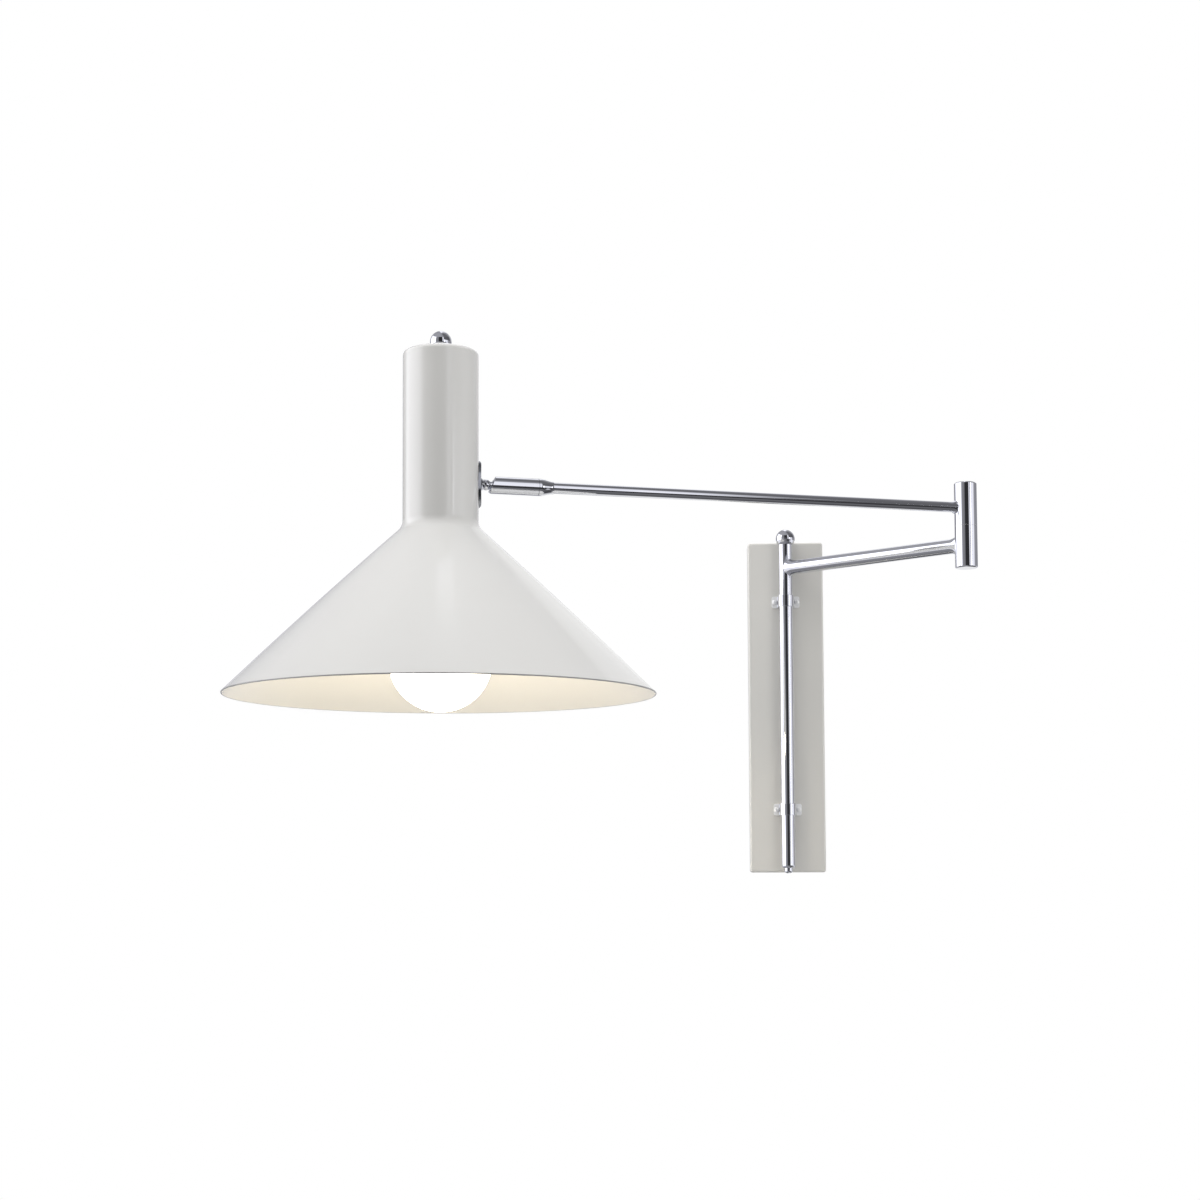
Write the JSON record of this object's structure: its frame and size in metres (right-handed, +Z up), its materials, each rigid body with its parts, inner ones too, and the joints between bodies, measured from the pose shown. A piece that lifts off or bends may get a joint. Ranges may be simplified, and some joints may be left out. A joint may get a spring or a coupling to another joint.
{
  "type": "articulating wall lamp",
  "caption": "Wall lamp with a large conical shade on a swivel barrel and a hinged arm that swings from a chrome pole clipped to a tall wall plate.",
  "frame": {"origin": "middle of the wall plate's back, on the wall: the middle of the mounting bar's back face", "axes": "+Z up, +Y into the wall, +X to the right as one faces the wall, so the lamp reaches towards -Y"},
  "size_m": [0.6059, 0.4532, 0.4284],
  "materials": {
    "plate_paint": "off-white semi-gloss paint",
    "shade_paint": "off-white semi-gloss paint on spun sheet",
    "chrome": "polished",
    "plated_steel": "zinc plated",
    "brass": "plain",
    "nylon": "natural nylon",
    "holder_plastic": "moulded",
    "ceramic": "glazed",
    "opal_glass": "opal"
  },
  "bodies": {
    "wall_bracket": {"cover_plate": "plate_paint", "mounting_bar": "plated_steel", "cover_screws": "plated_steel", "terminal_block": "nylon", "terminal_screws": "brass", "earth_terminal": "brass", "upper_clip": "chrome", "lower_clip": "chrome", "upper_clip_saddle": "nylon", "lower_clip_saddle": "nylon", "clip_screws": "chrome", "clip_nut_plates": "plated_steel", "pole_stop_pin": "plated_steel"},
    "lower_arm_body": {"pole_tube": "chrome", "pole_finial": "chrome", "pole_end_plug": "chrome", "lower_arm": "chrome", "elbow_lower_sleeve": "chrome", "elbow_lower_cap": "chrome", "elbow_lower_hub": "plated_steel", "elbow_washer": "nylon", "elbow_pivot": "plated_steel", "elbow_spring_washer": "plated_steel", "elbow_pivot_nut": "plated_steel"},
    "upper_arm_body": {"elbow_upper_sleeve": "chrome", "elbow_upper_hub": "plated_steel", "elbow_upper_cap": "chrome", "upper_arm": "chrome", "arm_end_fitting": "chrome", "barrel_clip_ring": "plated_steel"},
    "swivel": {"swivel_barrel": "chrome", "barrel_bush": "nylon", "ball_seat_pad": "nylon", "disc_springs": "plated_steel", "spring_backing_ring": "plated_steel"},
    "shade_body": {"ball_stud": "chrome", "escutcheon": "chrome", "saddle_washer": "plated_steel", "stud_nut": "plated_steel", "shade": "shade_paint", "shade_finial": "chrome", "shade_finial_washer": "chrome", "lock_washer": "plated_steel", "lock_nut": "plated_steel", "threaded_rod": "plated_steel", "lampholder_cap": "holder_plastic", "lampholder_skirt": "holder_plastic", "lampholder_insert": "ceramic", "centre_contact": "brass", "screw_shell": "brass", "bulb_cap": "plated_steel", "bulb_globe": "opal_glass"}
  },
  "joints": [
    {"name": "pole_swivel", "type": "hinge", "parent": "wall_bracket", "child": "lower_arm_body", "pos_m": [0, -0.0305, 0], "axis": [0, 0, 1], "range_deg": [-141, 39]},
    {"name": "elbow_swivel", "type": "hinge", "parent": "lower_arm_body", "child": "upper_arm_body", "pos_m": [0.14636, -0.14889, 0.1408], "axis": [0, 0, 1], "range_deg": [-48, 295]},
    {"name": "barrel_roll", "type": "hinge", "parent": "upper_arm_body", "child": "swivel", "pos_m": [-0.23764, -0.27085, 0.1565], "axis": [-0.9531, -0.3027, 0], "range_deg": [-170, 170]},
    {"name": "shade_tilt", "type": "hinge", "parent": "swivel", "child": "shade_body", "pos_m": [-0.23764, -0.27085, 0.1565], "axis": [0.3027, -0.9531, 0], "range_deg": [-45, 8]}
  ]
}
